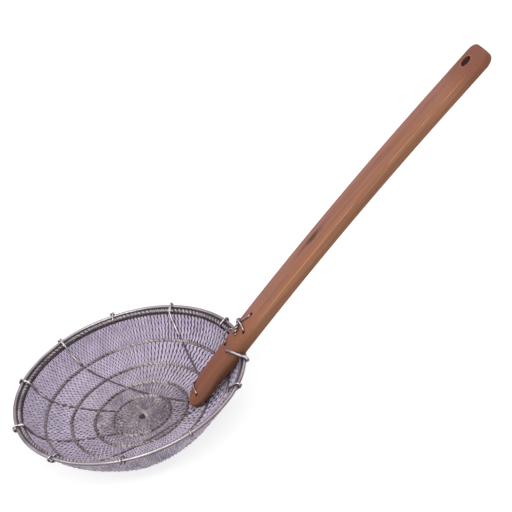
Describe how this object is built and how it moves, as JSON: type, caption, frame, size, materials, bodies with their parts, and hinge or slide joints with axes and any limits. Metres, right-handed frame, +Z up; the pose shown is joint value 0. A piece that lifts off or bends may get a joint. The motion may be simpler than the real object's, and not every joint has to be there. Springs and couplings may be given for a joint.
{
  "type": "noodle skimmer",
  "caption": "Shallow round skimmer of knitted steel wire on a double wire rim, tied to a long slanted bamboo handle with a hanging hole; lifts and drains food from hot liquid.",
  "frame": {"origin": "middle of the flat underside of the knot at the bottom of the basket", "axes": "+Z up along the basket's axis, square to the rim; +X the handle's direction seen from above, from the basket to the hanging hole"},
  "size_m": [0.5561, 0.2428, 0.2619],
  "materials": {
    "rim_steel": "dull drawn wire",
    "hoop_steel": "dull wound wire",
    "net_steel": "fine knitted wire",
    "bamboo": "smoothed, worn, unvarnished"
  },
  "bodies": {
    "root": {"outer_rim_wire": "rim_steel", "inner_rim_wire": "hoop_steel", "net_hoop_1": "hoop_steel", "net_hoop_2": "hoop_steel", "net_hoop_3": "hoop_steel", "net_hoop_4": "hoop_steel", "centre_knot": "hoop_steel", "net_band_1": "net_steel", "net_band_2": "net_steel", "net_band_3": "net_steel", "net_band_4": "net_steel", "net_band_5": "net_steel", "rim_tie_1": "rim_steel", "rim_tie_2": "rim_steel", "rim_tie_3": "rim_steel", "rim_tie_4": "rim_steel", "rim_tie_5": "rim_steel", "rim_tie_6": "rim_steel", "rim_tie_7": "rim_steel", "rim_tie_8": "rim_steel", "rim_tie_9": "rim_steel", "rim_tie_10": "rim_steel", "stay_wire_1": "rim_steel", "stay_wire_2": "rim_steel", "stay_wire_3": "rim_steel", "stay_wire_4": "rim_steel", "stay_wire_5": "rim_steel", "stay_wire_6": "rim_steel", "stay_wire_7": "rim_steel", "rim_staple": "rim_steel", "tip_binding": "rim_steel", "upper_binding": "rim_steel", "lower_binding": "rim_steel", "curl_binding": "rim_steel", "bamboo_handle": "bamboo"}
  },
  "joints": []
}
